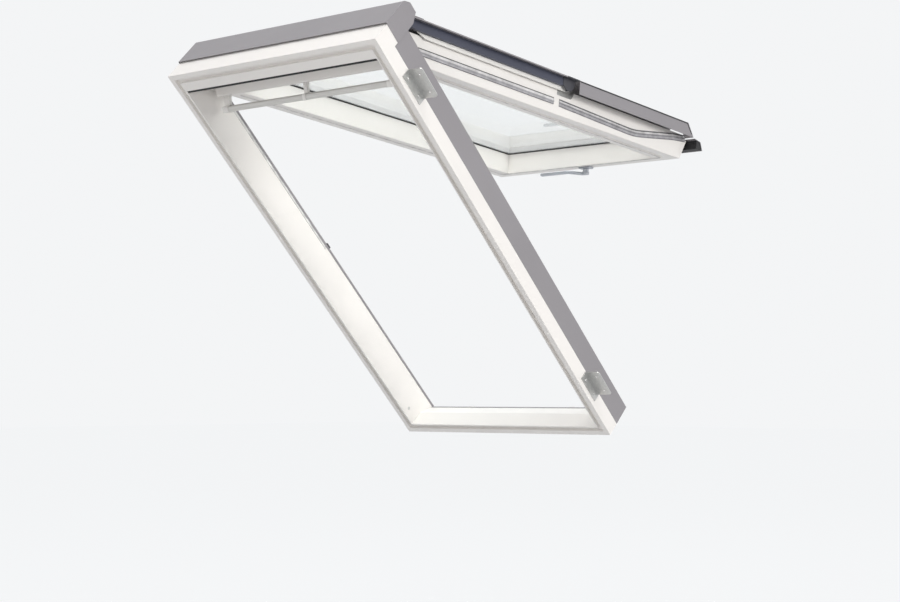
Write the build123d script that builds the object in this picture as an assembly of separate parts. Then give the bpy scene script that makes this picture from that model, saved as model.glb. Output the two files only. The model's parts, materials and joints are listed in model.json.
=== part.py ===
from build123d import *
import math
import os

# White roof window with an aluminium outside, open about its top hinge.
# It is drawn shut and flat: x across, y down the slope with 0 at the frame's lower edge,
# z outwards with 0 at the frame's room side. At the end each moving part is turned to its
# rest place, and the whole is tipped to the roof pitch about a point on the sill's lower side.
# Millimetres and degrees.

# Whole window
FRAME_WIDTH = 780.0
FRAME_LENGTH = 1398.0
ROOF_PITCH = 45.0
SASH_OPENING = 39.6
FLAP_OPENING = 22.5
ORIGIN_DEPTH = 24.0

# Frame members
STILE_WIDTH = 33.0
HEAD_WIDTH = 56.5
SILL_WIDTH = 33.0
STILE_DEPTH = 112.0
HEAD_DEPTH = 100.0
SILL_STEP_DEPTH = 53.0
SILL_EDGE_DEPTH = 106.0
SILL_EDGE_WIDTH = 4.0
GROOVE_INSET = 15.5
GROOVE_WIDTH = 13.0
GROOVE_DEPTH = 9.0
FRAME_EDGE_RADIUS = 1.5
SILL_BLOCK_INSET = 172.0
SILL_BLOCK_LENGTH = 20.0
SCREW_CAP_RADIUS = 5.2
SCREW_CAP_HEIGHT = 0.9
SCREW_CAP_FROM_BOTTOM = 80.0
SCREW_CAP_DEPTH = 25.0

# Sash rails
SASH_FACE_DEPTH = 52.0
SASH_SIDE_GAP = 4.5
SASH_END_GAP = 3.0
SIDE_BAND = 37.0
SIDE_BEAD = 28.0
SIDE_REVEAL = 7.0
BOTTOM_BAND = 41.0
BOTTOM_BEAD = 5.0
BOTTOM_BEVEL = 10.0
BEAD_HEIGHT = 2.0
LIP_DEPTH = 58.0
TOP_RAIL_REACH = 73.5
TOP_RAIL_FACE = 9.5
TOP_RAIL_REVEAL = 7.5
SIDE_RAIL_TOP = 128.0
SIDE_RAIL_SLOPE = 18.0
BOTTOM_RAIL_TOP = 112.0
SASH_EDGE_RADIUS = 2.0

# Seals on the sash's sides: the lower one sweeps outwards towards the sill
SEAL_THICKNESS = 1.2
SEAL_HALF_HEIGHT = 11.0
SEAL_START = (-15.0, 87.0)
SEAL_SWEEP = [(-285.0, 78.0), (-75.0, 112.0), (-14.0, 118.0)]
SEAL_SWEEP_RADIUS = 400.0
SEAL_GAP_AT_PIVOT = 40.0
SEAL_BELOW_HINGE = 70.0

# Glazing
PANE_THICKNESS = 4.0
CAVITY = 16.0
PANE_BITE = 14.0
PANE_CLEARANCE = 3.0
GASKET_THICKNESS = 1.5
GASKET_SHOW = 4.5
SPACER_WIDTH = 11.0

# Sheet metal outside; the covers' insets are measured from the frame's outer side
SHEET = 1.2
COVER_WALL_LOW = 118.0
COVER_INSET = 2.5
COVER_SHOULDER_INSET = 45.0
COVER_LIP_INSET = 90.0
COVER_END_TOP = -50.0
COVER_END_LOW = -17.0
NOSE_LINE = [(-10.5, 115.0), (22.0, 110.5), (34.0, 86.0)]
HOOD_ABOVE_COVERS = 10.0
HOOD_BACK_GAP = 4.0
HOOD_BEND = 16.0
HOOD_BEND_RADIUS = 8.0
HOOD_REACH = 42.0
HOOD_WALL_LOW = 60.0
CLADDING_SKIRT = 45.0
STRIP_WIDTH = 3.0
STRIP_THICKNESS = 0.8

# Top hinge, arms and pivots
HINGE_FROM_TOP = 63.0
HINGE_DEPTH = 104.0
PIVOT_FROM_BOTTOM = 640.0
PIVOT_ABOVE_STILE = 40.0
PIVOT_BELOW_COVER = 6.0
ARM_INSET = 29.0
ARM_THICKNESS = 10.0
ARM_ABOVE_STILE = 20.0
ARM_PLATE_SHEET = 3.5
ARM_PLATE_RADIUS = 31.0
PIN_RADIUS = 4.0
PIVOT_PIN_RADIUS = 3.0
PIN_PLAY = 0.05
EYE_RADIUS = 10.0
PIVOT_CAP_RADIUS = 30.0
PIVOT_CAP_WALL = 1.2
PIVOT_CAP_FLANGE = 3.0
PIVOT_CLEAR_RADIUS = 32.0
UPPER_COVER_END = 25.0
UPPER_COVER_WALL = 4.0
BUFFER_LENGTH = 18.0
BUFFER_ABOVE_PIVOT = 28.0
HINGE_PLATE_RADIUS = 58.0
HINGE_PLATE_LOW = 44.0
HINGE_PLATE_SHEET = 3.0
HINGE_PLATE_BOSS = 6.0

# Ventilation flap and control bar
FLAP_END_GAP = 14.5
FLAP_HINGE_FROM_TOP = 66.0
FLAP_HINGE_DEPTH = 94.0
FLAP_NOSE_LOW = 29.0
FLAP_NOSE_HEIGHT = 20.0
FLAP_NOSE_LENGTH = 30.5
FLAP_WEB = 3.0
BAR_WIDTH = 23.0
BAR_HEIGHT = 16.5
BAR_CORNER = 4.0
BAR_WALL = 1.5
BAR_CLIP = 1.2
BAR_CLIP_PLAY = 0.2
BAR_CENTRE_FROM_TOP = 66.5
BAR_CENTRE_DEPTH = -7.8
BAR_END_GAP = 39.0
BAR_CAP = 6.0
BRACKET_WIDTH = 11.0
END_BRACKET_WIDTH = 18.0

# Handle
HANDLE_X = 10.0
HANDLE_FROM_BOTTOM = 54.0
HANDLE_RISE = 39.0
HANDLE_REACH = 149.0
HANDLE_BAR_WIDTH = 13.0
HANDLE_BAR_HEIGHT = 9.0
HANDLE_BASE_LENGTH = 46.0
HANDLE_BASE_WIDTH = 26.0
HANDLE_BASE_HEIGHT = 6.0

# Mounting brackets
BRACKET_LENGTH = 90.0
BRACKET_REACH = 48.0
BRACKET_SHEET = 2.5
BRACKET_DEPTH = 42.0
BRACKET_FROM_END = 170.0
BRACKET_HOLE_RADIUS = 3.0

# Worked out from the values above
HALF = FRAME_WIDTH / 2
INNER = HALF - STILE_WIDTH
HEAD_FACE = -FRAME_LENGTH + HEAD_WIDTH
SASH_HALF = INNER - SASH_SIDE_GAP
SASH_LOW = -SILL_WIDTH - SASH_END_GAP
SASH_TOP = HEAD_FACE + SASH_END_GAP
SEAT = SASH_FACE_DEPTH + LIP_DEPTH
PANE_IN = SEAT + GASKET_THICKNESS
PANE_OUT = PANE_IN + 2 * PANE_THICKNESS + CAVITY
SIGHT_X = SASH_HALF - SIDE_BAND - SIDE_BEAD - SIDE_REVEAL
SIGHT_LOW = SASH_LOW - BOTTOM_BAND - BOTTOM_BEAD - BOTTOM_BEVEL
TOP_FACE_EDGE = SASH_TOP + TOP_RAIL_REACH
SIGHT_TOP = TOP_FACE_EDGE + TOP_RAIL_REVEAL
PANE_X = SIGHT_X + PANE_BITE
PANE_LOW = SIGHT_LOW + PANE_BITE
PANE_TOP = SIGHT_TOP - PANE_BITE
HINGE_Y = -FRAME_LENGTH + HINGE_FROM_TOP
FLAP_HINGE_Y = -FRAME_LENGTH + FLAP_HINGE_FROM_TOP
FLAP_HALF_WIDTH = SASH_HALF - FLAP_END_GAP
BAR_Y = -FRAME_LENGTH + BAR_CENTRE_FROM_TOP
BAR_HALF = INNER - BAR_END_GAP
PIVOT_Y = -PIVOT_FROM_BOTTOM
PIVOT_DEPTH = STILE_DEPTH + PIVOT_ABOVE_STILE
COVER_TOP = PIVOT_DEPTH + PIVOT_BELOW_COVER
COVER_OUTER = HALF - COVER_INSET
COVER_SHOULDER = HALF - COVER_SHOULDER_INSET
COVER_LIP_X = HALF - COVER_LIP_INSET
UNDER_COVER = COVER_TOP - SHEET
HOOD_TOP = COVER_TOP + HOOD_ABOVE_COVERS
ARM_INNER = HALF - ARM_INSET
ARM_OUTER = ARM_INNER + ARM_THICKNESS
ARM_LOW = STILE_DEPTH + ARM_ABOVE_STILE
ARM_PLATE_LOW = PIVOT_DEPTH - ARM_PLATE_RADIUS
CLADDING_TOP = STILE_DEPTH + SHEET
POCKET_TOP = HINGE_Y - 26
POCKET_LOW = HINGE_Y + 42
APRON_LOW = CLADDING_SKIRT + 3
CROSS_COVER_TOP = HINGE_Y - 26
CROSS_COVER_LOW = HINGE_Y + 60
UPPER_WALL_LOW = COVER_TOP - UPPER_COVER_WALL
SIDES = {"left": -1, "right": 1}


def outline(points):
    """A face from (a, b) corners; a third value rounds that corner."""
    face = make_face(Polyline(*[point[:2] for point in points], close=True))
    for point in points:
        if len(point) == 3:
            corner = face.vertices().sort_by_distance(Vector(*point[:2]))[0]
            face = fillet(corner, point[2])
    return face


def folded(points, radius, side=Side.LEFT, thickness=SHEET):
    """The section of a bent sheet that follows the given points."""
    path = FilletPolyline(*points, radius=radius) if radius else Polyline(*points)
    return make_face(offset(path, amount=thickness, side=side, kind=Kind.INTERSECTION))


def along_x(section, start, end):
    """A (y, z) section drawn out from x = start to x = end."""
    return extrude(Plane.YZ.offset(start) * section, amount=end - start)


def along_y(section, start, end):
    """An (x, z) section drawn out from y = start to y = end."""
    return extrude(Plane.XZ.offset(-end) * section, amount=end - start)


def along_z(section, start, end):
    """An (x, y) section drawn out from z = start to z = end."""
    return extrude(Plane.XY.offset(start) * section, amount=end - start)


def block(x, y, z):
    """A box between two limits on each axis."""
    size = [high - low for low, high in (x, y, z)]
    middle = [(high + low) / 2 for low, high in (x, y, z)]
    return Pos(*middle) * Box(*size)


def rod(radius, start, end, y, z):
    """A round bar along x."""
    return Pos((start + end) / 2, y, z) * Rot(0, 90, 0) * Cylinder(radius, end - start)


def on_side(shape, sign):
    """The right-hand shape, or its mirror image for the left."""
    return shape if sign > 0 else mirror(shape, about=Plane.YZ)


def both_sides(shape):
    """The shape and its mirror image as two solids of one node."""
    return Compound(children=[shape, mirror(shape, about=Plane.YZ)])


# Frame


def lining_groove():
    """The groove for the room lining, one ring round the frame's room side."""
    wide = FRAME_WIDTH - 2 * GROOVE_INSET
    tall = FRAME_LENGTH - 2 * GROOVE_INSET
    ring = Rectangle(wide, tall) - Rectangle(wide - 2 * GROOVE_WIDTH, tall - 2 * GROOVE_WIDTH)
    return along_z(Pos(0, -FRAME_LENGTH / 2) * ring, 0, GROOVE_DEPTH)


def hinge_pocket():
    """The recess for the hinge bracket, open to the stile's inner face."""
    return block((INNER - 1, HALF - 2), (POCKET_TOP, POCKET_LOW), (HINGE_DEPTH - 15, CLADDING_TOP))


def frame_stile():
    square = [(INNER, 0), (HALF, 0), (HALF, STILE_DEPTH), (INNER, STILE_DEPTH)]
    soft = [point + (FRAME_EDGE_RADIUS,) for point in square]
    middle = along_y(outline(soft), HEAD_FACE, -SILL_WIDTH)
    upper_end = along_y(outline(square), -FRAME_LENGTH, HEAD_FACE)
    lower_end = along_y(outline(square), -SILL_WIDTH, 0)
    body = upper_end + middle + lower_end - lining_groove() - hinge_pocket()
    side_seat = block((HALF - SHEET, HALF + 1), (HEAD_FACE, 1), (CLADDING_SKIRT, STILE_DEPTH + 1))
    end_seat = block((INNER - 1, HALF + 1), (-SHEET, 1), (APRON_LOW, STILE_DEPTH + 1))
    return body - side_seat - end_seat


def frame_head():
    section = outline([
        (-FRAME_LENGTH, 0), (HEAD_FACE, 0, 2 * FRAME_EDGE_RADIUS), (HEAD_FACE, HEAD_DEPTH, FRAME_EDGE_RADIUS),
        (-FRAME_LENGTH, HEAD_DEPTH),
    ])
    return along_x(section, -INNER, INNER) - lining_groove()


def frame_sill():
    section = outline([
        (0, 0), (-SILL_WIDTH, 0, FRAME_EDGE_RADIUS), (-SILL_WIDTH, SILL_STEP_DEPTH, 3),
        (-SILL_EDGE_WIDTH, SILL_EDGE_DEPTH), (-SHEET, SILL_EDGE_DEPTH), (-SHEET, APRON_LOW), (0, APRON_LOW),
    ])
    return along_x(section, -INNER, INNER) - lining_groove()


def head_seal():
    """A lip seal under the head, at its room edge."""
    section = outline([
        (HEAD_FACE, 3.2), (HEAD_FACE + 6, 2.2), (HEAD_FACE + 6, 4.2), (HEAD_FACE + 1.6, 6.4),
        (HEAD_FACE + 1.6, 12), (HEAD_FACE, 12),
    ])
    return along_x(section, -INNER + 0.5, INNER - 0.5)


def stile_seal():
    """A black seal along the upper half of the stile's outer edge."""
    low, high, thickness = STILE_DEPTH - 14, STILE_DEPTH - 6.4, 1.4
    section = outline([
        (INNER - thickness, low + 1), (INNER, low), (INNER, high), (INNER - thickness, high - 0.6),
    ])
    return along_y(section, POCKET_LOW + 0.5, PIVOT_Y - 40)


def stile_cladding():
    seat = HALF - SHEET
    path = [(INNER, STILE_DEPTH - 6), (INNER, STILE_DEPTH), (seat, STILE_DEPTH), (seat, CLADDING_SKIRT)]
    sheet = along_y(folded(path, 0), HEAD_FACE + 0.5, -SHEET)
    return sheet - hinge_pocket()


def sill_cladding():
    """The sheet over the sill's outer edge; its apron lies flush across the stiles' ends."""
    rise = (SILL_EDGE_DEPTH - SILL_STEP_DEPTH) / (SILL_WIDTH - SILL_EDGE_WIDTH)
    start = (-SILL_EDGE_WIDTH - 3, SILL_EDGE_DEPTH - 3 * rise)
    path = [start, (-SILL_EDGE_WIDTH, SILL_EDGE_DEPTH), (-SHEET, SILL_EDGE_DEPTH), (-SHEET, APRON_LOW)]
    sheet = along_x(folded(path, 0), -INNER + SHEET + 0.5, INNER - SHEET - 0.5)
    sheet += block((-HALF, HALF), (-SHEET, 0), (APRON_LOW, SILL_EDGE_DEPTH - 1))
    for low, high in ((-HALF, -INNER), (INNER, HALF)):
        sheet += block((low, high), (-SHEET, 0), (APRON_LOW, CLADDING_TOP))
    return sheet


def sill_block():
    """A white block on the sill's outer edge that the shut sash settles on."""
    section = outline([
        (-SILL_EDGE_WIDTH, SILL_EDGE_DEPTH + SHEET), (0.8, SILL_EDGE_DEPTH + SHEET),
        (0.8, SILL_EDGE_DEPTH + 5.5, 1.2), (-SILL_EDGE_WIDTH + 1, SILL_EDGE_DEPTH + 5.5, 1.2),
    ])
    end = INNER - SILL_BLOCK_INSET + SILL_BLOCK_LENGTH
    return along_x(section, end - SILL_BLOCK_LENGTH, end)


def buffer_block():
    """A rubber block on the stile under the arm, near mid height."""
    low = PIVOT_Y - BUFFER_ABOVE_PIVOT
    body = block((INNER + 0.5, ARM_OUTER + 7), (low - BUFFER_LENGTH, low), (CLADDING_TOP, ARM_PLATE_LOW - 0.5))
    return fillet(body.edges().group_by(Axis.Z)[-1], 1.5)


def screw_cap():
    cap = rod(SCREW_CAP_RADIUS, INNER - SCREW_CAP_HEIGHT, INNER, -SCREW_CAP_FROM_BOTTOM, SCREW_CAP_DEPTH)
    return fillet(cap.edges().group_by(Axis.X)[0], 0.6)


def hinge_bracket():
    """A steel bracket let into the stile: a foot plate and two ears for the pin."""
    foot_low = HINGE_DEPTH - 15
    inner_ear = (ARM_INNER - 3.5, ARM_INNER - 0.5)
    outer_ear = (ARM_OUTER + 0.5, ARM_OUTER + 3.5)
    foot = block((inner_ear[0], outer_ear[1]), (HINGE_Y - 25, HINGE_Y + 40), (foot_low, foot_low + 2.5))
    body = foot
    for low, high in (inner_ear, outer_ear):
        web = block((low, high), (HINGE_Y - 8, HINGE_Y + 8), (foot_low + 2.5, HINGE_DEPTH))
        body += web + rod(8, low, high, HINGE_Y, HINGE_DEPTH)
    return body - rod(PIN_RADIUS + PIN_PLAY, inner_ear[0] - 1, outer_ear[1] + 1, HINGE_Y, HINGE_DEPTH)


def hinge_pin():
    return rod(PIN_RADIUS, ARM_INNER - 4.5, ARM_OUTER + 3.5, HINGE_Y, HINGE_DEPTH)


def hood_line():
    """The inside of the hood's bent sheet, from its low back edge to its front edge."""
    back = -FRAME_LENGTH - HOOD_BACK_GAP
    inner_top = HOOD_TOP - SHEET
    return [
        (back, HOOD_WALL_LOW), (back, inner_top - HOOD_BEND), (back + HOOD_BEND, inner_top),
        (-FRAME_LENGTH + HOOD_REACH, inner_top),
    ]


def head_hood():
    """The bent sheet over the head, open towards the arms."""
    return along_x(folded(hood_line(), HOOD_BEND_RADIUS), -HALF - SHEET, HALF + SHEET)


def hood_end():
    """The plate that closes the hood's end and holds it to the stile."""
    start, *bends, front = hood_line()
    rounded = [bend + (HOOD_BEND_RADIUS,) for bend in bends]
    section = outline(
        [start] + rounded + [front, (HEAD_FACE, COVER_TOP - 18, 10), (HEAD_FACE, HOOD_WALL_LOW)]
    )
    return along_x(section, HALF, HALF + SHEET)


def mounting_bracket():
    """A steel angle: one flange on the stile's outer face, one on the roof timber."""
    half = BRACKET_LENGTH / 2
    low = BRACKET_DEPTH - 28
    side_flange = block((HALF, HALF + BRACKET_SHEET), (-half, half), (low, BRACKET_DEPTH))
    roof_flange = block(
        (HALF, HALF + BRACKET_REACH), (-half, half), (BRACKET_DEPTH - BRACKET_SHEET, BRACKET_DEPTH)
    )
    roof_flange = fillet(roof_flange.edges().filter_by(Axis.Z).group_by(Axis.X)[-1], 8)
    body = side_flange + roof_flange
    for down in (-half * 0.6, half * 0.6):
        body -= Pos(HALF + BRACKET_REACH * 0.65, down, BRACKET_DEPTH) * Cylinder(BRACKET_HOLE_RADIUS, 4 * BRACKET_SHEET)
    for down in (-half * 0.6, half * 0.6):
        body -= rod(2.6, HALF - 1, HALF + BRACKET_SHEET + 1, down, low + 12)
    return body


def bracket_place(end):
    return Pos(0, -BRACKET_FROM_END if end == "lower" else -FRAME_LENGTH + BRACKET_FROM_END, 0)


def bracket_screws():
    """Round-headed screws through each bracket into the stile."""
    low = BRACKET_DEPTH - 28
    screws = []
    for end in ("lower", "upper"):
        for down in (-BRACKET_LENGTH * 0.3, BRACKET_LENGTH * 0.3):
            head = rod(4.6, HALF + BRACKET_SHEET, HALF + BRACKET_SHEET + 2.4, down, low + 12)
            head = fillet(head.edges().group_by(Axis.X)[-1], 1.6)
            shank = rod(2.3, HALF, HALF + BRACKET_SHEET, down, low + 12)
            screw = bracket_place(end) * (head + shank)
            screws += [screw, mirror(screw, about=Plane.YZ)]
    return Compound(children=screws)


# Lifting arms with the upper covers


def lift_arm():
    """A pressed steel arm: eye on the top hinge, neck, long bar, eye at the pivot."""
    bar = outline([
        (HINGE_Y + 34, ARM_LOW + 4, 6), (HINGE_Y + 52, ARM_LOW, 6), (PIVOT_Y - UPPER_COVER_END, ARM_LOW, 10),
        (PIVOT_Y, PIVOT_DEPTH - 8), (PIVOT_Y, UNDER_COVER), (HINGE_Y + 40, UNDER_COVER, 12),
        (HINGE_Y + 16, UNDER_COVER - 18, 10), (HINGE_Y + 4, HINGE_DEPTH + 8), (HINGE_Y + 6, HINGE_DEPTH - 6),
    ])
    body = along_x(bar, ARM_INNER, ARM_OUTER)
    body += rod(EYE_RADIUS, ARM_INNER, ARM_OUTER, HINGE_Y, HINGE_DEPTH)
    body += pivot_eye()
    recess = along_x(
        outline([
            (HINGE_Y + 60, ARM_LOW + 6, 4), (PIVOT_Y - 40, ARM_LOW + 6, 4), (PIVOT_Y - 40, UNDER_COVER - 6, 4),
            (HINGE_Y + 60, UNDER_COVER - 6, 4),
        ]),
        ARM_INNER - 1, ARM_OUTER - 2.5,
    )
    body -= rod(PIN_RADIUS + PIN_PLAY, ARM_INNER - 1, ARM_OUTER + 1, HINGE_Y, HINGE_DEPTH)
    return body - recess - rod(PIVOT_PIN_RADIUS, INNER, ARM_OUTER + 1, PIVOT_Y, PIVOT_DEPTH)


def pivot_eye(grow=0.0):
    """The arm's eye at the pivot, flat under the cover."""
    eye = rod(11 + grow, ARM_INNER - grow, ARM_OUTER + grow, PIVOT_Y, PIVOT_DEPTH)
    return eye & block((0, HALF), (PIVOT_Y - 20, PIVOT_Y + 20), (0, UNDER_COVER))


def arm_plate():
    """The light plate on the arm's inner face: it shows below the arm and is rounded about the pivot."""
    start, top = HINGE_Y + 60, COVER_TOP - PIVOT_CAP_FLANGE
    strip = outline([
        (start, ARM_LOW + 4, 4), (start + 40, ARM_PLATE_LOW, 20), (PIVOT_Y, ARM_PLATE_LOW), (PIVOT_Y, top),
        (start, top, 4),
    ])
    around_pivot = Pos(PIVOT_Y, PIVOT_DEPTH) * Circle(ARM_PLATE_RADIUS)
    plate = along_x(strip + around_pivot, ARM_INNER - ARM_PLATE_SHEET, ARM_INNER)
    plate = plate & block((0, HALF), (start - 1, PIVOT_Y + ARM_PLATE_RADIUS + 1), (0, top))
    return plate - rod(PIVOT_PIN_RADIUS + 0.1, INNER - 1, ARM_INNER + 1, PIVOT_Y, PIVOT_DEPTH)


def pivot_pin():
    """The pin that the sash turns on, held in the arm's end."""
    return rod(PIVOT_PIN_RADIUS, SASH_HALF - HINGE_PLATE_SHEET, ARM_OUTER, PIVOT_Y, PIVOT_DEPTH)


def pivot_cap():
    """The dark cap on the arm's end: a disc about the pivot, and a flange across the gap in the covers."""
    disc = rod(PIVOT_CAP_RADIUS, ARM_INNER, ARM_OUTER + PIVOT_CAP_WALL, PIVOT_Y, PIVOT_DEPTH)
    limits = (PIVOT_Y - UPPER_COVER_END, PIVOT_Y + PIVOT_CAP_RADIUS)
    flange = block((SASH_HALF + 1, COVER_OUTER), limits, (COVER_TOP - PIVOT_CAP_FLANGE, COVER_TOP))
    passage = block((ARM_INNER - 0.2, ARM_OUTER + 0.2), (PIVOT_Y - 40, PIVOT_Y), (0, UNDER_COVER))
    return (disc & block((0, HALF), limits, (0, COVER_TOP))) + flange - passage - pivot_eye(0.2)


def cover_section(wall_low):
    """The side cover's bent sheet: outer wall, top, slope to the glass, lip."""
    return folded(
        [
            (COVER_OUTER, wall_low), (COVER_OUTER, COVER_TOP), (COVER_SHOULDER, COVER_TOP),
            (COVER_LIP_X + 2, PANE_OUT + 6), (COVER_LIP_X, PANE_OUT + 1.5),
        ],
        1.5, Side.LEFT,
    )


def upper_side_cover():
    """The cover over the arm: its wall starts below the hinge, its top runs on under the cross cover."""
    sheet = along_y(cover_section(UPPER_WALL_LOW), CROSS_COVER_TOP, PIVOT_Y - UPPER_COVER_END)
    hinge_side = block((SASH_HALF + 5, HALF + 5), (CROSS_COVER_TOP - 1, HINGE_Y + 12), (0, COVER_TOP - 2 * SHEET))
    below_head = block((0, HALF + 5), (CROSS_COVER_TOP - 1, HINGE_Y + 14), (0, COVER_TOP - 12))
    return sheet - hinge_side - below_head


def cross_cover():
    """The cover across the window's top that lifts with the arms."""
    low = COVER_TOP
    plate = block((-COVER_OUTER, COVER_OUTER), (CROSS_COVER_TOP, CROSS_COVER_LOW), (low, low + SHEET))
    front = folded(
        [
            (CROSS_COVER_LOW - 6, low), (CROSS_COVER_LOW, low), (CROSS_COVER_LOW + 21, PANE_OUT + 9),
            (CROSS_COVER_LOW + 24, PANE_OUT + 3),
        ],
        1.5,
    )
    return plate + along_x(front, -COVER_SHOULDER + 46, COVER_SHOULDER - 46)


# Sash


def side_rail():
    """A side rail: two bands on the room face, a deep reveal, a rebate for the glass."""
    band_edge = SASH_HALF - SIDE_BAND
    bead_edge = band_edge - SIDE_BEAD
    bead = SASH_FACE_DEPTH - BEAD_HEIGHT
    rebate = PANE_X + PANE_CLEARANCE
    section = outline([
        (SASH_HALF, SASH_FACE_DEPTH, SASH_EDGE_RADIUS), (band_edge, SASH_FACE_DEPTH), (band_edge, bead, 1.2),
        (bead_edge, bead, 1.6), (SIGHT_X, SEAT), (rebate, SEAT), (rebate, PANE_OUT), (rebate + 6, PANE_OUT),
        (rebate + 6 + SIDE_RAIL_SLOPE, SIDE_RAIL_TOP), (SASH_HALF, SIDE_RAIL_TOP, 1.5),
    ])
    rail = along_y(section, SASH_TOP, SASH_LOW)
    low_edge = SASH_LOW - BOTTOM_BAND
    plan = outline([
        (SASH_HALF + 1, SASH_TOP - 1), (SASH_HALF + 1, SASH_LOW + 1), (SASH_HALF, SASH_LOW),
        (band_edge, low_edge), (bead_edge, low_edge), (bead_edge, low_edge - BOTTOM_BEAD),
        (SIGHT_X, SIGHT_LOW), (SIGHT_X, SIGHT_TOP), (bead_edge, TOP_FACE_EDGE), (bead_edge, SASH_TOP - 1),
    ])
    rail = rail & along_z(plan, 0, SIDE_RAIL_TOP + 1)
    plate_seat = along_x(hinge_plate_outline(0.3), SASH_HALF - HINGE_PLATE_SHEET, SASH_HALF + 1)
    return rail - flap_space() - plate_seat


def bottom_rail():
    """The bottom rail: band, narrow bead, bevel to the glass, sloping lower face."""
    band_edge = SASH_LOW - BOTTOM_BAND
    bead = SASH_FACE_DEPTH - BEAD_HEIGHT
    rebate = PANE_LOW + PANE_CLEARANCE
    slope = (SILL_WIDTH - SILL_EDGE_WIDTH) / (SILL_EDGE_DEPTH - SILL_STEP_DEPTH)
    step = SILL_STEP_DEPTH + 1
    nose = SASH_LOW + (BOTTOM_RAIL_TOP - step) * slope
    section = outline([
        (SASH_LOW, SASH_FACE_DEPTH, 1.2), (SASH_LOW, step), (nose, BOTTOM_RAIL_TOP, 1.5),
        (rebate, BOTTOM_RAIL_TOP), (rebate, SEAT), (SIGHT_LOW, SEAT), (band_edge - BOTTOM_BEAD, bead, 1.2),
        (band_edge, bead, 0.8), (band_edge, SASH_FACE_DEPTH),
    ])
    rail = along_x(section, -SASH_HALF, SASH_HALF)
    side_band = SASH_HALF - SIDE_BAND
    side_bead = side_band - SIDE_BEAD
    corner = [
        (SASH_HALF, SASH_LOW), (side_band, band_edge), (side_bead, band_edge),
        (side_bead, band_edge - BOTTOM_BEAD), (SIGHT_X, SIGHT_LOW),
    ]
    plan = outline(
        [(SASH_HALF, nose + 1)] + corner + [(-x, y) for x, y in reversed(corner)] + [(-SASH_HALF, nose + 1)]
    )
    rail = rail & along_z(plan, 0, BOTTOM_RAIL_TOP + 1)
    spindle_hole = Pos(HANDLE_X, -HANDLE_FROM_BOTTOM, SASH_FACE_DEPTH + 5) * Cylinder(PIN_RADIUS + 0.5, 14)
    return rail - spindle_hole


def flap_space():
    """The hollow in the sash's top edge that the flap swings in."""
    section = outline([
        (TOP_FACE_EDGE - TOP_RAIL_FACE, SASH_FACE_DEPTH - 10), (TOP_FACE_EDGE - TOP_RAIL_FACE, SASH_FACE_DEPTH),
        (TOP_FACE_EDGE - TOP_RAIL_FACE - 10, SASH_FACE_DEPTH + 14), (FLAP_HINGE_Y + 10, FLAP_HINGE_DEPTH + 7),
        (SASH_TOP - 5, FLAP_HINGE_DEPTH + 10), (SASH_TOP - 5, SASH_FACE_DEPTH - 10),
    ])
    reach = FLAP_HALF_WIDTH + 2.5
    return along_x(section, -reach, reach)


def top_rail():
    """The top rail, hollowed for the flap, with its short face and reveal."""
    rebate = PANE_TOP - PANE_CLEARANCE
    section = outline([
        (TOP_FACE_EDGE, SASH_FACE_DEPTH, 1.6), (SASH_TOP, SASH_FACE_DEPTH), (SASH_TOP, SIDE_RAIL_TOP, 2),
        (rebate - 14, SIDE_RAIL_TOP), (rebate, PANE_OUT + 2), (rebate, SEAT), (SIGHT_TOP, SEAT),
    ])
    bead_edge = SASH_HALF - SIDE_BAND - SIDE_BEAD
    rail = along_x(section, -bead_edge, bead_edge)
    plan = outline([
        (-bead_edge, SASH_TOP - 1), (bead_edge, SASH_TOP - 1), (bead_edge, TOP_FACE_EDGE),
        (SIGHT_X, SIGHT_TOP), (-SIGHT_X, SIGHT_TOP), (-bead_edge, TOP_FACE_EDGE),
    ])
    return rail & along_z(plan, 0, SIDE_RAIL_TOP + 1) - flap_space()


def pane(low, thickness):
    half = PANE_X
    return block((-half, half), (PANE_TOP, PANE_LOW), (low, low + thickness))


def ring(inset_outer, inset_inner, low, high):
    """A frame-shaped ring inside the panes' edge, between two depths."""
    def rectangle(inset):
        return Pos(0, (PANE_TOP + PANE_LOW) / 2) * Rectangle(2 * (PANE_X - inset), PANE_LOW - PANE_TOP - 2 * inset)
    return along_z(rectangle(inset_outer) - rectangle(inset_inner), low, high)


def glazing_gasket():
    """The black gasket between the rails' seat and the inner pane."""
    return ring(2, PANE_BITE + GASKET_SHOW, SEAT, PANE_IN)


def spacer():
    low = PANE_IN + PANE_THICKNESS
    return ring(PANE_BITE - 2, PANE_BITE + SPACER_WIDTH, low, low + CAVITY)


def outer_seal():
    return ring(1, PANE_X - COVER_LIP_X + 9, PANE_OUT, PANE_OUT + 1.2)


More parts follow.
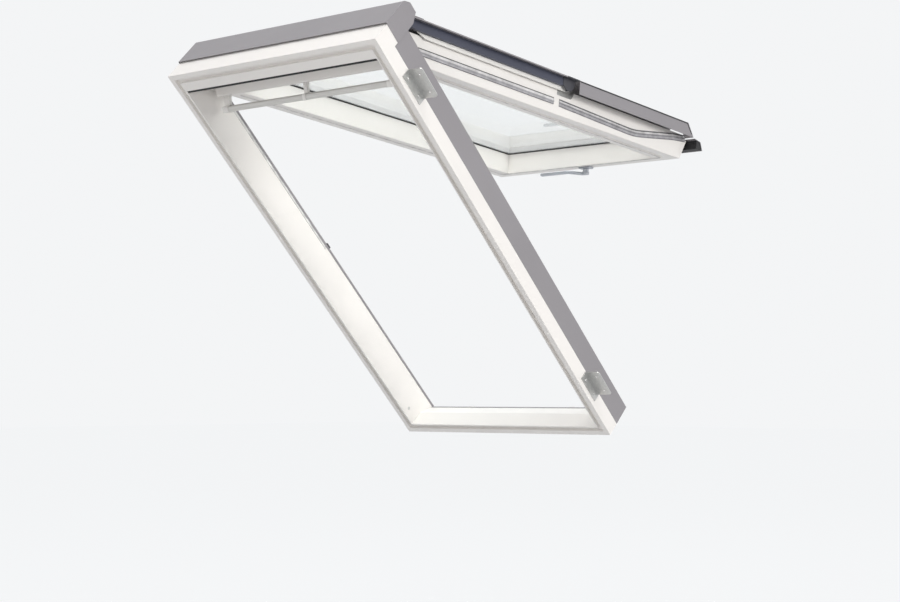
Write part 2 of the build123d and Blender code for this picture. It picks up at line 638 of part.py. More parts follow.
def lower_side_cover():
    """The cover on the sash beside the glass, with its slanted lower end."""
    rate = (COVER_END_LOW - COVER_END_TOP) / (COVER_TOP - COVER_WALL_LOW)
    start = PIVOT_Y + PIVOT_CLEAR_RADIUS
    sheet = along_y(cover_section(COVER_WALL_LOW), start, 0)
    beyond = along_x(
        outline([
            (COVER_END_LOW + 20 * rate, COVER_WALL_LOW - 20), (COVER_END_TOP - 10 * rate, COVER_TOP + 10),
            (40, COVER_TOP + 10), (40, COVER_WALL_LOW - 20),
        ]),
        0, HALF + 20,
    )
    end_plate = along_x(
        outline([
            (COVER_END_LOW, COVER_WALL_LOW), (COVER_END_LOW - 1.6, COVER_WALL_LOW),
            (COVER_END_TOP - 1.6, UNDER_COVER), (COVER_END_TOP - SHEET * rate, UNDER_COVER),
        ]),
        SASH_HALF + 3.5, COVER_OUTER,
    )
    tongue = block(
        (COVER_LIP_X + 20, SASH_HALF - HINGE_PLATE_SHEET - 1), (PIVOT_Y - 14, start), (UNDER_COVER - 24, COVER_TOP)
    ) & along_y(cover_section(COVER_WALL_LOW), PIVOT_Y - 14, start)
    under_lap = block((0, SASH_HALF + 1), (PANE_LOW - 1, 1), (0, NOSE_LINE[0][1] + SHEET + 0.3))
    return sheet - beyond - under_lap + end_plate + tongue


def cover_strip():
    """The thin black strip under the lower cover's outer top edge, bent down at its slanted end."""
    rate = (COVER_END_LOW - COVER_END_TOP) / (COVER_TOP - COVER_WALL_LOW)
    start, bend, tip = PIVOT_Y + PIVOT_CLEAR_RADIUS + 1, COVER_END_TOP - 3, COVER_END_LOW - 3 - 8 * rate
    high, low = UNDER_COVER - 0.5, COVER_WALL_LOW + 8
    section = outline([
        (start, high), (bend, high), (tip, low), (tip - 1.4 * STRIP_WIDTH, low),
        (bend - 0.5 * STRIP_WIDTH, high - STRIP_WIDTH), (start, high - STRIP_WIDTH),
    ])
    return along_x(section, COVER_OUTER, COVER_OUTER + STRIP_THICKNESS)


def bottom_cover():
    """The sheet below the glass, with a nose that hangs over the sill."""
    (start, start_z), (bend, bend_z) = NOSE_LINE[:2]
    on_nose = (start + 3, start_z - 3 * (start_z - bend_z) / (bend - start))
    main = folded(
        [
            (PANE_LOW - 20, PANE_OUT + 1.5), (PANE_LOW - 14, PANE_OUT + 3.2), (PANE_LOW + 4, PANE_OUT + 3.2),
            NOSE_LINE[0], on_nose,
        ],
        0,
    )
    nose = folded(NOSE_LINE, 4)
    return along_x(main, -COVER_LIP_X + 1.5, COVER_LIP_X - 1.5) + along_x(nose, -COVER_OUTER, COVER_OUTER)


def bottom_seal():
    """The dark profile under the nose that closes against the sill."""
    (start, start_z), (bend, bend_z), (tip, tip_z) = NOSE_LINE
    fall = (start_z - bend_z) / (bend - start)
    left, right = 3, bend - 4
    section = outline([
        (left, start_z - (left - start) * fall), (left, tip_z + 1), (tip - 3, tip_z + 1, 1),
        (right + 1, bend_z - 3, 1), (right, start_z - (right - start) * fall),
    ])
    return along_x(section, -COVER_OUTER + 1.5, COVER_OUTER - 1.5)


def side_seal():
    """The lip seal on the sash's side: it sweeps outwards towards the sill."""
    start = (PIVOT_Y + SEAL_START[0], SEAL_START[1])
    path = FilletPolyline(start, *SEAL_SWEEP, radius=SEAL_SWEEP_RADIUS)
    base = SASH_HALF + SEAL_THICKNESS
    body = None
    for side, height, reach in (
        (Side.LEFT, SEAL_HALF_HEIGHT, base), (Side.RIGHT, SEAL_HALF_HEIGHT, base), (Side.LEFT, 2.2, base + 1.4)
    ):
        band = along_x(make_face(offset(path, amount=height, side=side, kind=Kind.INTERSECTION)), SASH_HALF, reach)
        body = band if body is None else body + band
    return body


def upper_side_seal():
    """The straight seal on the upper half of the sash's side."""
    middle = SEAL_START[1]
    base = SASH_HALF + SEAL_THICKNESS
    section = outline([
        (SASH_HALF, middle - 9), (base, middle - 9), (base, middle - 3), (base + 1.4, middle - 2),
        (base + 1.4, middle), (base, middle + 1), (base, middle + 9), (SASH_HALF, middle + 9),
    ])
    return along_y(section, SASH_TOP + SEAL_BELOW_HINGE, PIVOT_Y - SEAL_GAP_AT_PIVOT)


def hinge_plate_outline(grow=0.0):
    """The outline of the sash's hinge plate: part of a disc about the pivot, below the cover."""
    disc = Pos(PIVOT_Y, PIVOT_DEPTH) * Circle(HINGE_PLATE_RADIUS + grow)
    low, high = PIVOT_DEPTH - HINGE_PLATE_LOW - grow, PIVOT_DEPTH - 2
    left, right = PIVOT_Y - 26 - grow, PIVOT_Y + HINGE_PLATE_RADIUS + 1
    keep = Pos((left + right) / 2, (low + high) / 2) * Rectangle(right - left, high - low)
    return (disc & keep) + Pos(PIVOT_Y, PIVOT_DEPTH) * Circle(HINGE_PLATE_BOSS + grow)


def hinge_plate():
    plate = along_x(hinge_plate_outline(), SASH_HALF - HINGE_PLATE_SHEET, SASH_HALF)
    return plate - rod(PIVOT_PIN_RADIUS + PIN_PLAY, SASH_HALF - 4, SASH_HALF + 1, PIVOT_Y, PIVOT_DEPTH)


def flap_pin():
    """A short pin from the side rail's cheek into the flap's hinge bead."""
    return rod(2.0, FLAP_HALF_WIDTH - 8, FLAP_HALF_WIDTH + 2.5, FLAP_HINGE_Y, FLAP_HINGE_DEPTH)


# Ventilation flap and control bar


def vent_flap():
    """The flap: rounded nose, web and hinge bead, one extruded profile."""
    nose_high = FLAP_NOSE_LOW + FLAP_NOSE_HEIGHT
    nose_end = SASH_TOP + FLAP_NOSE_LENGTH
    nose = outline([
        (SASH_TOP, FLAP_NOSE_LOW, 7), (nose_end, FLAP_NOSE_LOW, 7), (nose_end, nose_high, 5),
        (SASH_TOP + FLAP_WEB, nose_high), (SASH_TOP + FLAP_WEB, FLAP_HINGE_DEPTH), (SASH_TOP, FLAP_HINGE_DEPTH),
    ])
    profile = nose + Pos(FLAP_HINGE_Y, FLAP_HINGE_DEPTH) * Circle(5)
    body = along_x(profile, -FLAP_HALF_WIDTH, FLAP_HALF_WIDTH)
    bore = rod(2.0 + PIN_PLAY, FLAP_HALF_WIDTH - 9, FLAP_HALF_WIDTH + 1, FLAP_HINGE_Y, FLAP_HINGE_DEPTH)
    return body - bore - mirror(bore, about=Plane.YZ)


def bar_outline(grow=0.0):
    shape = RectangleRounded(BAR_WIDTH + 2 * grow, BAR_HEIGHT + 2 * grow, BAR_CORNER + grow)
    return Pos(BAR_Y, BAR_CENTRE_DEPTH) * shape


def control_bar():
    """The aluminium bar: an open channel with its slot towards the flap."""
    slot = Pos(BAR_Y, BAR_CENTRE_DEPTH + BAR_HEIGHT / 2) * Rectangle(9, 2 * BAR_WALL + 2)
    section = bar_outline() - bar_outline(-BAR_WALL) - slot
    return along_x(section, -BAR_HALF, BAR_HALF)


def bar_cap():
    cap = along_x(bar_outline(0.4), BAR_HALF, BAR_HALF + BAR_CAP)
    return fillet(cap.edges().group_by(Axis.X)[-1], 2)


def bar_bracket(middle, width):
    """A moulded bracket: foot on the flap's nose, strut with a slot in its face, clip round the bar."""
    strut_low = BAR_CENTRE_DEPTH + BAR_HEIGHT / 2 + BAR_CLIP_PLAY + 0.1
    strut = outline([
        (BAR_Y - 1, strut_low), (BAR_Y - 1, FLAP_NOSE_LOW - 8, 6), (BAR_Y + 2, FLAP_NOSE_LOW),
        (BAR_Y + 16, FLAP_NOSE_LOW), (BAR_Y + 11, FLAP_NOSE_LOW - 9, 8), (BAR_Y + 8, strut_low),
    ])
    clip = bar_outline(BAR_CLIP) - bar_outline(BAR_CLIP_PLAY)
    start, end = middle - width / 2, middle + width / 2
    slot = block((middle - 2, middle + 2), (BAR_Y + 5.5, BAR_Y + 20), (strut_low + 4, FLAP_NOSE_LOW - 5))
    return along_x(strut, start, end) + along_x(clip, start, end) - slot


# Handle


def handle_base():
    body = Pos(HANDLE_X, -HANDLE_FROM_BOTTOM) * RectangleRounded(HANDLE_BASE_LENGTH, HANDLE_BASE_WIDTH, 6)
    plate = along_z(body, SASH_FACE_DEPTH - HANDLE_BASE_HEIGHT, SASH_FACE_DEPTH)
    plate = fillet(plate.edges().group_by(Axis.Z)[0], 2)
    hole = Pos(HANDLE_X, -HANDLE_FROM_BOTTOM, SASH_FACE_DEPTH) * Cylinder(PIN_RADIUS + 0.4, 30)
    return plate - hole


def handle_lever():
    """The lever: flat rounded bar with an S bend, hub and spindle."""
    x, y = HANDLE_X, -HANDLE_FROM_BOTTOM
    high = SASH_FACE_DEPTH - HANDLE_BASE_HEIGHT - 0.3
    low = high - 14
    path = FilletPolyline(
        (x + 4, y), (x - 12, y - 4), (x - 40, y - HANDLE_RISE), (x - HANDLE_REACH, y - HANDLE_RISE), radius=12
    )
    bar = along_z(trace(path, HANDLE_BAR_WIDTH), low - HANDLE_BAR_HEIGHT + 3, low + 3)
    bar = fillet(bar.edges(), 2.8)
    hub = Pos(x, y, (low + high) / 2) * Cylinder(9, high - low)
    hub = hub + Pos(x, y, low) * Cylinder(11, 8)
    spindle = Pos(x, y, high + 7) * Cylinder(PIN_RADIUS, 14)
    return bar + hub + spindle


# Assembly


def sided(build):
    """Left and right copies of a right-hand piece."""
    piece = build()
    return {side: on_side(piece, sign) for side, sign in SIDES.items()}


def frame_nodes():
    nodes = {
        "frame_head": frame_head(),
        "frame_sill": frame_sill(),
        "head_seal": head_seal(),
        "head_hood": head_hood(),
        "sill_cladding": sill_cladding(),
        "sill_blocks": both_sides(sill_block()),
        "arm_buffers": both_sides(buffer_block()),
        "hood_ends": both_sides(hood_end()),
        "hinge_pins": both_sides(hinge_pin()),
        "screw_caps": both_sides(screw_cap()),
        "bracket_screws": bracket_screws(),
    }
    makers = {
        "frame_{}_stile": frame_stile,
        "{}_stile_seal": stile_seal,
        "{}_stile_cladding": stile_cladding,
        "{}_hinge_bracket": hinge_bracket,
    }
    for name, maker in makers.items():
        for side, piece in sided(maker).items():
            nodes[name.format(side)] = piece
    for side, piece in sided(mounting_bracket).items():
        for end in ("upper", "lower"):
            nodes[f"{end}_{side}_bracket"] = bracket_place(end) * piece
    return nodes


def arm_nodes():
    nodes = {
        "cross_cover": cross_cover(),
        "pivot_pins": both_sides(pivot_pin()),
        "arm_plates": both_sides(arm_plate()),
    }
    makers = {"{}_arm": lift_arm, "{}_pivot_cap": pivot_cap, "upper_{}_cover": upper_side_cover}
    for name, maker in makers.items():
        for side, piece in sided(maker).items():
            nodes[name.format(side)] = piece
    return nodes


def sash_nodes():
    nodes = {
        "sash_top_rail": top_rail(),
        "sash_bottom_rail": bottom_rail(),
        "inner_pane": pane(PANE_IN, PANE_THICKNESS),
        "outer_pane": pane(PANE_OUT - PANE_THICKNESS, PANE_THICKNESS),
        "pane_spacer": spacer(),
        "glazing_gasket": glazing_gasket(),
        "outer_glazing_seal": outer_seal(),
        "bottom_cover": bottom_cover(),
        "bottom_seal": bottom_seal(),
        "flap_pins": both_sides(flap_pin()),
        "handle_base": handle_base(),
    }
    makers = {
        "sash_{}_rail": side_rail,
        "lower_{}_cover": lower_side_cover,
        "lower_{}_seal": side_seal,
        "upper_{}_seal": upper_side_seal,
        "{}_hinge_plate": hinge_plate,
        "{}_cover_strip": cover_strip,
    }
    for name, maker in makers.items():
        for side, piece in sided(maker).items():
            nodes[name.format(side)] = piece
    return nodes


def flap_nodes():
    end = BAR_HALF - END_BRACKET_WIDTH / 2
    brackets = [
        bar_bracket(-end, END_BRACKET_WIDTH), bar_bracket(0, BRACKET_WIDTH), bar_bracket(end, END_BRACKET_WIDTH),
    ]
    return {
        "vent_flap": vent_flap(),
        "control_bar": control_bar(),
        "bar_brackets": Compound(children=brackets),
        "bar_end_caps": both_sides(bar_cap()),
    }


def turned(angle, y, z):
    """A turn about the line along x through (y, z)."""
    return Pos(0, y, z) * Rot(angle, 0, 0) * Pos(0, -y, -z)


def build_model():
    """All nodes at rest, in the tipped frame."""
    roof = Rot(-ROOF_PITCH, 0, 0) * Pos(0, 0, -ORIGIN_DEPTH)
    lifted = roof * turned(SASH_OPENING, HINGE_Y, HINGE_DEPTH)
    flapped = lifted * turned(FLAP_OPENING, FLAP_HINGE_Y, FLAP_HINGE_DEPTH)
    groups = [
        (roof, frame_nodes()), (lifted, arm_nodes()), (lifted, sash_nodes()), (flapped, flap_nodes()),
        (lifted, {"handle": handle_lever()}),
    ]
    return {name: place * piece for place, nodes in groups for name, piece in nodes.items()}


os.makedirs("parts", exist_ok=True)
for node_name, solid in build_model().items():
    export_step(solid, f"parts/{node_name}.step")
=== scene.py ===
import json
import math

import bmesh
import bpy
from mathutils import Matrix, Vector


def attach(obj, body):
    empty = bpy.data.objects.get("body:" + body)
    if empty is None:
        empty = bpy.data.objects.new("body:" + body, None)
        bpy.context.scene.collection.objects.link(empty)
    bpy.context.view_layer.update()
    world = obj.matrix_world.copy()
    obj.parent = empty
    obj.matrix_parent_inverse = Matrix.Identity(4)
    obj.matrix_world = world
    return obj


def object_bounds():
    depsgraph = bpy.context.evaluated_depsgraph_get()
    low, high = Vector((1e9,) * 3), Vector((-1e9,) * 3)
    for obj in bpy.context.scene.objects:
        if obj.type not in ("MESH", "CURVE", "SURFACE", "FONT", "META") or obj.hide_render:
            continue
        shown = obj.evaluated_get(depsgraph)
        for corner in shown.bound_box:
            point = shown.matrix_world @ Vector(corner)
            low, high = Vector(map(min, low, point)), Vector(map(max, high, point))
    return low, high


# Looks of the white roof window: materials, glass, thin beads, light and camera.
# Metres, in the row frame: X across, Y level and outwards, Z up. The room is on the -Y side.

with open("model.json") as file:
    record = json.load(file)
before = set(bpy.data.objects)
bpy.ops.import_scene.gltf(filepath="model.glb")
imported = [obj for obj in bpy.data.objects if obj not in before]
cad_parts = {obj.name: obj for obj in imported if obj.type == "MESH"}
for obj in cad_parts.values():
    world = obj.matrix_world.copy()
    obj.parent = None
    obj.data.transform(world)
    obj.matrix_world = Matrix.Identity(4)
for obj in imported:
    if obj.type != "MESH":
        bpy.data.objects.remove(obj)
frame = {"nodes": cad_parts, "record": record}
cad_low, cad_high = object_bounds()

# The drawing is flat and shut, in millimetres: x across, y down the slope, z outwards
MILLIMETRE = 0.001
ROOF_PITCH = 45.0
ORIGIN_DEPTH = 24.0

# The sash hangs open on its hinge, given as (y, z), by an angle in degrees
HINGE = (-1335.0, 104.0)
SASH_OPENING = 39.6

# Side seals: the (y, z) corners of their middle lines, on both sides of the sash
SIDES = {"left": -1, "right": 1}
SEAL_LINES = {
    "lower": [(-655.0, 87.0), (-285.0, 78.0), (-75.0, 112.0), (-14.0, 118.0)],
    "upper": [(-1266.0, 87.0), (-681.0, 87.0)],
}
SEAL_SWEEP_RADIUS = 400.0
SASH_HALF = 352.5
SEAL_THICKNESS = 1.2

# Beads on each seal: shift across the seal, width and height, and how far they sink into it
SEAL_BEADS = {
    "outer": (8.6, 2.0, 0.5),
    "lip": (3.6, 6.4, 0.4),
    "middle": (-1.2, 1.0, 0.4),
    "inner": (-9.2, 1.6, 0.5),
}
BEAD_SINK = 0.05

# Bead on the sash's room face: it runs down both sides and along the bottom. Its grey, darker than the
# white rails, is painted shade for the shaded step between the rails' two bands, on a bead that is
# probably a seal
ROOM_FACE = 50.0
FACE_BEAD_X = 313.0
FACE_BEAD_TOP = -1250.0
FACE_BEAD_BOTTOM = -79.5
FACE_BEAD_RADIUS = 4.0
FACE_BEAD_WIDTH = 3.0
FACE_BEAD_HEIGHT = 2.0

# Section of every bead, in shares of its width and height
BEAD_SECTION = ((-0.5, 0.0), (-0.3, 1.0), (0.3, 1.0), (0.5, 0.0))
ARC_STEPS = 8

# Edges look softened by this radius, in metres
EDGE_RADIUS = 0.0008
EDGE_SAMPLES = 4

# Camera: place, turn to the left in degrees and lens, from the photograph's own perspective
CAMERA_PLACE = (3.3035, -4.1058, 0.0979)
CAMERA_TURN = 40.75
CAMERA_LENS = 69.4
CAMERA_SENSOR = 36.0
CAMERA_SHIFT = 0.1047
CAMERA_NEAR = 0.05
CAMERA_FAR = 100.0

# Floor: its own colour catches the shadow, and the shown colour is mixed in by the share
FLOOR_DROP = 0.62
FLOOR_SIZE = 60.0
FLOOR_COLOUR = (0.6, 0.6, 0.6, 1.0)
FLOOR_ROUGHNESS = 0.9
FLOOR_SHOWN = (0.94, 0.952, 0.962, 1.0)
FLOOR_SHARE = 0.92

# Sky: colour and strength of what lights the window, and of what the picture shows
SKY_LIGHT = ((0.93, 0.95, 1.0, 1.0), 0.55)
SKY_SHOWN = ((0.95, 0.96, 0.97, 1.0), 0.95)

# Square lamps, aimed at the window's middle: place, size, watts and colour
LAMPS = {
    "top_lamp": ((1.0, -1.6, 5.0), 2.5, 120.0, (1.0, 0.98, 0.95)),
    "room_lamp": ((1.0, -5.0, 0.8), 2.5, 38.0, (1.0, 0.97, 0.94)),
    "side_lamp": ((11.9, 0.1, 3.2), 3.0, 460.0, (1.0, 0.98, 0.95)),
    "low_lamp": ((11.0, 1.5, 0.6), 2.0, 182.0, (1.0, 0.98, 0.95)),
    "sky_lamp": ((-1.5, 3.0, 4.0), 3.0, 40.0, (0.93, 0.97, 1.0)),
}


# Places in the window


def turned(point, centre, angle):
    """A (y, z) point turned about a centre, in degrees."""
    cosine, sine = math.cos(math.radians(angle)), math.sin(math.radians(angle))
    y, z = point[0] - centre[0], point[1] - centre[1]
    return centre[0] + y * cosine - z * sine, centre[1] + y * sine + z * cosine


def to_row(x, y, z):
    """A point of the flat, shut drawing in the row frame, in metres."""
    level, up = turned((y, z - ORIGIN_DEPTH), (0.0, 0.0), -ROOF_PITCH)
    return Vector((x, level, up)) * MILLIMETRE


def on_sash(x, y, z):
    """A point of the shut sash where it is at rest, with the sash lifted."""
    return to_row(x, *turned((y, z), HINGE, SASH_OPENING))


def above_seal(sign):
    """How a bead on one side's seals is placed: its height over the seal, then y and z."""
    seal_face = SASH_HALF + SEAL_THICKNESS - BEAD_SINK
    return lambda height, y, z: on_sash(sign * (seal_face + height), y, z)


def above_room_face(height, y, x):
    """A point at a height over the sash's room face, towards the room."""
    return on_sash(x, y, ROOM_FACE - height)


# Materials


class Nodes:
    """A small wrapper that builds a material's node tree."""

    def __init__(self, name):
        self.material = bpy.data.materials.new(name)
        self.material.use_nodes = True
        self.tree = self.material.node_tree
        self.shader = self.tree.nodes["Principled BSDF"]
        self.output = self.tree.nodes["Material Output"]
        self.place = self.add("ShaderNodeTexCoord").outputs["Object"]

    def add(self, kind, **values):
        """A new node. Names with a capital set its inputs, the others its own settings."""
        node = self.tree.nodes.new(kind)
        for name, value in values.items():
            if name[0].isupper():
                node.inputs[name.replace("_", " ")].default_value = value
            else:
                setattr(node, name, value)
        return node

    def link(self, source, target):
        self.tree.links.new(source, target)

    def set(self, **values):
        """Values that are the same all over the surface, on the shader's own inputs."""
        for name, value in values.items():
            self.shader.inputs[name.replace("_", " ")].default_value = value

    def noise(self, scale, detail, roughness=0.5, stretch=(1.0, 1.0, 1.0)):
        """Noise in the object's own space, so it stays on the piece as it moves."""
        mapping = self.add("ShaderNodeMapping", Scale=stretch)
        self.link(self.place, mapping.inputs["Vector"])
        noise = self.add("ShaderNodeTexNoise", Scale=scale, Detail=detail, Roughness=roughness)
        self.link(mapping.outputs["Vector"], noise.inputs["Vector"])
        return noise.outputs["Fac"]

    def tint(self, source, colour, darkest, lightest, ends=(0.3, 0.7)):
        """Base colour that drifts between a darker and a lighter tone of one colour."""
        ramp = self.add("ShaderNodeValToRGB")
        for element, end, tone in zip(ramp.color_ramp.elements, ends, (darkest, lightest)):
            element.position = end
            element.color = (*[min(1.0, channel * tone) for channel in colour], 1.0)
        self.link(source, ramp.inputs["Fac"])
        self.link(ramp.outputs["Color"], self.shader.inputs["Base Color"])

    def gloss(self, source, low, high):
        """Roughness that wanders between two values."""
        spread = self.add("ShaderNodeMapRange", To_Min=low, To_Max=high)
        self.link(source, spread.inputs["Value"])
        self.link(spread.outputs["Result"], self.shader.inputs["Roughness"])

    def relief(self, source, strength, depth):
        """Fine relief, its depth in metres, with softened edges under it."""
        soft = self.add("ShaderNodeBevel", samples=EDGE_SAMPLES, Radius=EDGE_RADIUS)
        bump = self.add("ShaderNodeBump", Strength=strength, Distance=depth)
        self.link(soft.outputs["Normal"], bump.inputs["Normal"])
        self.link(source, bump.inputs["Height"])
        self.link(bump.outputs["Normal"], self.shader.inputs["Normal"])

    def surface(self, share, other):
        """The material's surface: its shader, and another one mixed in by a share."""
        mix = self.add("ShaderNodeMixShader")
        self.link(share, mix.inputs["Fac"])
        self.link(self.shader.outputs["BSDF"], mix.inputs[1])
        self.link(other, mix.inputs[2])
        self.link(mix.outputs["Shader"], self.output.inputs["Surface"])


def white_lacquer():
    """White lacquer on timber: a very faint drift in tone under a smooth coat."""
    n = Nodes("white_lacquer")
    n.tint(n.noise(scale=2.5, detail=3.0), (0.83, 0.805, 0.775), darkest=0.975, lightest=1.02)
    n.gloss(n.noise(scale=25.0, detail=4.0), low=0.3, high=0.42)
    n.relief(n.noise(scale=70.0, detail=2.0), strength=0.12, depth=0.00008)
    n.set(Coat_Weight=0.15, Coat_Roughness=0.25)
    return n.material


def coated(name, colour, roughness, grain, depth, variation, metallic=0.0):
    """A painted, moulded or coated surface: faint colour drift, uneven gloss, fine orange peel."""
    n = Nodes(name)
    n.tint(n.noise(scale=3.5, detail=2.0), colour, darkest=1 - variation, lightest=1 + variation)
    n.gloss(n.noise(scale=18.0, detail=4.0), low=roughness - 0.06, high=roughness + 0.06)
    n.relief(n.noise(scale=grain, detail=2.0), strength=0.12, depth=depth)
    n.set(Metallic=metallic)
    return n.material


def brushed(name, colour, roughness, stretch, metallic):
    """Satin metal with fine lines, drawn out along the axes where the stretch is small."""
    n = Nodes(name)
    lines = n.noise(scale=350.0, detail=2.0, roughness=0.6, stretch=stretch)
    n.tint(lines, colour, darkest=0.92, lightest=1.06, ends=(0.35, 0.65))
    n.gloss(lines, low=roughness - 0.05, high=roughness + 0.08)
    n.relief(lines, strength=0.1, depth=0.00006)
    n.set(Metallic=metallic)
    return n.material


def rubber(name, colour, roughness, relief):
    """Rubber: an uneven tone, a dull gloss and a fine grain."""
    n = Nodes(name)
    n.tint(n.noise(scale=40.0, detail=3.0), colour, darkest=0.8, lightest=1.25)
    n.gloss(n.noise(scale=60.0, detail=4.0), low=roughness - 0.08, high=roughness + 0.1)
    n.relief(n.noise(scale=900.0, detail=2.0), strength=relief, depth=0.0001)
    return n.material


def float_glass():
    """Clear float glass, faintly green, a little uneven in gloss, that lets the light through."""
    n = Nodes("float_glass")
    n.gloss(n.noise(scale=6.0, detail=3.0), low=0.0, high=0.03)
    n.set(Base_Color=(0.985, 0.995, 0.993, 1.0), Transmission_Weight=1.0, IOR=1.45)
    clear = n.add("ShaderNodeBsdfTransparent", Color=(0.96, 0.98, 0.98, 1.0))
    n.surface(n.add("ShaderNodeLightPath").outputs["Is Shadow Ray"], clear.outputs["BSDF"])
    return n.material


PALE_RUBBER = rubber("pale_rubber", (0.62, 0.61, 0.6), 0.5, relief=0.12)
# Black rubber colours the real gaskets, and also the black strips along the side covers' top edges,
# where it is painted shade for the shadow line under the covers' edge
BLACK_RUBBER_AND_SHADE = rubber("black_rubber_and_shade", (0.012, 0.012, 0.014), 0.6, relief=0.3)
SEAL_DARK = rubber("seal_dark", (0.1, 0.1, 0.11), 0.5, relief=0.3)
SEAL_LIP = rubber("seal_lip", (0.62, 0.61, 0.61), 0.5, relief=0.08)

# Material of each slot in the record. After its colour, a coating has its roughness, grain, depth
# of the grain in metres, drift in tone and metallic, and a brushed metal its roughness, stretch
# and metallic.
MATERIAL_OF_SLOT = {
    "white_frame": white_lacquer(),
    "white_plastic": coated("white_plastic", (0.78, 0.765, 0.74), 0.4, 220.0, 0.00008, 0.02),
    "glass": float_glass(),
    # The rubber slot also colours the black strips along the side covers' top edges; there their black
    # is painted shade standing in for the shadow line under the covers' edge
    "rubber": BLACK_RUBBER_AND_SHADE,
    "side_seal": rubber("seal_grey", (0.35, 0.345, 0.36), 0.5, relief=0.08),
    "spacer": brushed("spacer_metal", (0.6, 0.61, 0.63), 0.4, (1.0, 0.1, 0.1), 0.75),
    "bar_aluminium": brushed("bar_aluminium", (0.62, 0.61, 0.585), 0.42, (0.02, 1.0, 1.0), 0.4),
    "handle_metal": brushed("handle_silver", (0.43, 0.45, 0.49), 0.32, (0.05, 1.0, 1.0), 0.85),
    "cladding": coated("cover_grey", (0.275, 0.262, 0.275), 0.42, 300.0, 0.00006, 0.03, 0.25),
    "light_paint": coated("light_paint", (0.8, 0.785, 0.755), 0.38, 240.0, 0.00008, 0.02),
    # The arm's near-black is partly its dark paint and partly painted shade from the side cover over
    # it; its blue cast is a painted reflection of the sky
    "arm_steel": coated("arm_paint_shade_and_reflection", (0.05, 0.055, 0.085), 0.45, 260.0, 0.00008, 0.08),
    "dark_plastic": coated("dark_plastic", (0.05, 0.05, 0.06), 0.5, 500.0, 0.0001, 0.1),
    "grey_plastic": coated("grey_plastic", (0.6, 0.6, 0.58), 0.45, 300.0, 0.00015, 0.04),
    "steel": brushed("zinc_steel", (0.55, 0.55, 0.54), 0.35, (1.0, 0.3, 0.3), 0.9),
}

# These seals are paler than their slot
PALE_NODES = ("left_stile_seal", "right_stile_seal")

# Material and slot of each bead on the side seals
BEAD_LOOKS = {
    "outer": (BLACK_RUBBER_AND_SHADE, "rubber"),
    "lip": (SEAL_LIP, "side_seal"),
    "middle": (SEAL_DARK, "side_seal"),
    "inner": (SEAL_DARK, "side_seal"),
}


def dress_nodes():
    """Each CAD node gets the material of its slot in the record."""
    for part in frame["record"]["subparts"]:
        node = frame["nodes"][part["node"]]
        node.data.materials.clear()
        pale = part["node"] in PALE_NODES
        node.data.materials.append(PALE_RUBBER if pale else MATERIAL_OF_SLOT[part["material_slot"]])


# Thin beads on the sash


def rounded_line(corners, radius):
    """A line through corners that are rounded with a radius, as a list of points."""
    line = [Vector(corners[0])]
    for before, corner, after in zip(corners, corners[1:], corners[2:]):
        corner = Vector(corner)
        back = (Vector(before) - corner).normalized()
        on = (Vector(after) - corner).normalized()
        half = back.angle(on) / 2
        reach = radius / math.tan(half)
        middle = corner + (back + on).normalized() * (radius / math.sin(half))
        first, last = corner + back * reach - middle, corner + on * reach - middle
        for step in range(ARC_STEPS + 1):
            arm = first.lerp(last, step / ARC_STEPS).normalized() * radius
            line.append(middle + arm)
    return line + [Vector(corners[-1])]


def bead(name, line, width, height, place, material, slot):
    """A raised strip along a line on one face of the sash, its upper edges chamfered."""
    mesh = bpy.data.meshes.new(name)
    work = bmesh.new()
    rings = []
    for index, point in enumerate(line):
        ahead = line[min(index + 1, len(line) - 1)] - line[max(index - 1, 0)]
        across = Vector((-ahead.y, ahead.x)).normalized()
        ring = []
        for share, rise in BEAD_SECTION:
            at = point + across * width * share
            ring.append(work.verts.new(place(height * rise, at.x, at.y)))
        rings.append(ring)
    for near, far in zip(rings, rings[1:]):
        for k in range(len(BEAD_SECTION) - 1):
            work.faces.new((near[k], near[k + 1], far[k + 1], far[k]))
    work.faces.new(rings[0])
    work.faces.new(list(reversed(rings[-1])))
    bmesh.ops.recalc_face_normals(work, faces=work.faces)
    work.to_mesh(mesh)
    work.free()
    mesh.materials.append(material)
    item = bpy.data.objects.new(name, mesh)
    bpy.context.collection.objects.link(item)
    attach(item, "sash")


def seal_beads():
    """The dark beads that run along each side seal, with the pale lip between them."""
    for side, sign in SIDES.items():
        for part, corners in SEAL_LINES.items():
            path = rounded_line(corners, SEAL_SWEEP_RADIUS)
            for kind, (shift, width, height) in SEAL_BEADS.items():
                line = [point + Vector((0, shift)) for point in path]
                name = f"{part}_{side}_seal_{kind}"
                bead(name, line, width, height, above_seal(sign), *BEAD_LOOKS[kind])


def face_shade_bead():
    """The thin pale grey bead that runs down both side rails and along the bottom rail, probably a
    seal; its grey is painted shade for the shaded step line on the room face.
    """
    top, bottom, x = FACE_BEAD_TOP, FACE_BEAD_BOTTOM, FACE_BEAD_X
    line = rounded_line([(top, -x), (bottom, -x), (bottom, x), (top, x)], FACE_BEAD_RADIUS)
    # Pale rubber grey here is painted shade: it darkens the bead to show the shaded step between the
    # rails' two bands
    looks = (PALE_RUBBER, "side_seal")
    bead("sash_face_shade_bead", line, FACE_BEAD_WIDTH, FACE_BEAD_HEIGHT, above_room_face, *looks)


# Camera, stage and light


def aim(item, place, ahead):
    """Puts a camera or lamp in its place and turns it to look ahead."""
    bpy.context.collection.objects.link(item)
    item.location = place
    item.rotation_euler = ahead.to_track_quat("-Z", "Y").to_euler()


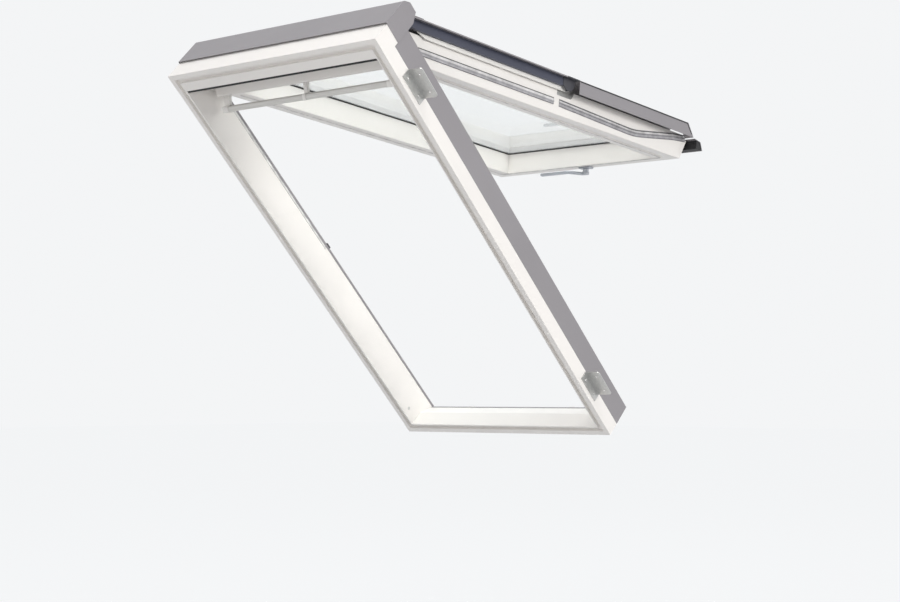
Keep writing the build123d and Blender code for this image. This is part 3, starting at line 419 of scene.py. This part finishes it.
def camera():
    """A level camera from the room, its view lifted by the lens shift."""
    data = bpy.data.cameras.new("photo_camera")
    data.lens = CAMERA_LENS
    data.sensor_width = CAMERA_SENSOR
    data.shift_y = CAMERA_SHIFT
    data.clip_start = CAMERA_NEAR
    data.clip_end = CAMERA_FAR
    item = bpy.data.objects.new("photo_camera", data)
    turn = math.radians(CAMERA_TURN)
    aim(item, CAMERA_PLACE, Vector((-math.sin(turn), math.cos(turn), 0.0)))
    bpy.context.scene.camera = item


def seen_rays(tree):
    """One for the rays that carry the picture: from the camera, off mirrors and through glass."""
    path = tree.nodes.new("ShaderNodeLightPath")
    found = path.outputs["Is Camera Ray"]
    for kind in ("Is Transmission Ray", "Is Glossy Ray"):
        most = tree.nodes.new("ShaderNodeMath")
        most.operation = "MAXIMUM"
        tree.links.new(found, most.inputs[0])
        tree.links.new(path.outputs[kind], most.inputs[1])
        found = most.outputs[0]
    return found


def floor_material():
    """A pale floor: the picture shows it lightened, so it runs into the sky, its shadow kept."""
    n = Nodes("floor_pale")
    n.set(Base_Color=FLOOR_COLOUR, Roughness=FLOOR_ROUGHNESS)
    glow = n.add("ShaderNodeEmission", Color=FLOOR_SHOWN)
    share = n.add("ShaderNodeMath", operation="MULTIPLY")
    share.inputs[1].default_value = FLOOR_SHARE
    n.link(seen_rays(n.tree), share.inputs[0])
    n.surface(share.outputs[0], glow.outputs["Emission"])
    return n.material


def floor():
    """A wide plane under the window, as the stage."""
    half = FLOOR_SIZE / 2
    height = cad_low.z - FLOOR_DROP
    corners = [(x, y, height) for x, y in ((-half, -half), (half, -half), (half, half), (-half, half))]
    mesh = bpy.data.meshes.new("floor")
    mesh.from_pydata(corners, [], [(0, 1, 2, 3)])
    mesh.materials.append(floor_material())
    item = bpy.data.objects.new("floor", mesh)
    bpy.context.collection.objects.link(item)


def sky():
    """A pale sky: the camera, mirrors and glass see near white, the object a plain light."""
    world = bpy.data.worlds.new("pale_world")
    bpy.context.scene.world = world
    world.use_nodes = True
    tree = world.node_tree
    light = tree.nodes["Background"]
    shown = tree.nodes.new("ShaderNodeBackground")
    for node, (colour, strength) in ((light, SKY_LIGHT), (shown, SKY_SHOWN)):
        node.inputs["Color"].default_value = colour
        node.inputs["Strength"].default_value = strength
    mix = tree.nodes.new("ShaderNodeMixShader")
    tree.links.new(seen_rays(tree), mix.inputs["Fac"])
    tree.links.new(light.outputs["Background"], mix.inputs[1])
    tree.links.new(shown.outputs["Background"], mix.inputs[2])
    tree.links.new(mix.outputs["Shader"], tree.nodes["World Output"].inputs["Surface"])


def lamps():
    """Large soft lamps around the window."""
    middle = (cad_low + cad_high) / 2
    for name, (place, size, watts, colour) in LAMPS.items():
        data = bpy.data.lights.new(name, "AREA")
        data.shape = "SQUARE"
        data.size = size
        data.energy = watts
        data.color = colour
        aim(bpy.data.objects.new(name, data), place, middle - Vector(place))


dress_nodes()
seal_beads()
face_shade_bead()
camera()
floor()
sky()
lamps()

bpy.context.scene.view_settings.view_transform = "Standard"
